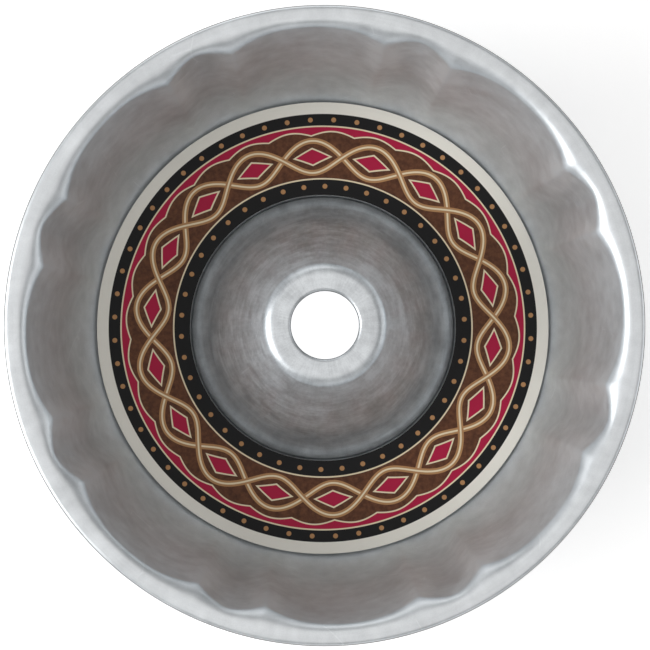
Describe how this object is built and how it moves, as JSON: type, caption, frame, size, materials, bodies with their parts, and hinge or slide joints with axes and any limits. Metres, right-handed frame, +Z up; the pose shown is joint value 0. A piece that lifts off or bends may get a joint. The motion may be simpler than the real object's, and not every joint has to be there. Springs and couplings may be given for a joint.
{
  "type": "kugelhopf mould",
  "caption": "Fluted ring cake mould of coated steel sheet with a conical centre tube locked into its floor, a wired rolled rim and a loose printed card ring in its trough.",
  "frame": {"origin": "on the mould's axis, in the plane that it stands on", "axes": "+Z up along the axis, out of the mouth; +X through the middle of a wide flute; +Y through another wide flute"},
  "size_m": [0.248, 0.248, 0.086],
  "materials": {
    "coated_steel": "satin silver-grey non-stick coating on pressed steel sheet",
    "wire_steel": "plain drawn steel wire",
    "printed_card": "printed and varnished card, white on the back and at the cut edges"
  },
  "bodies": {
    "pan": {"fluted_shell": "coated_steel", "centre_tube": "coated_steel", "rim_wire": "wire_steel"},
    "card": {"card_ring": "printed_card"}
  },
  "joints": [
    {"name": "card_lift", "type": "slide", "parent": "pan", "child": "card", "axis": [0, 0, 1], "range_m": [0, 0.1]}
  ]
}
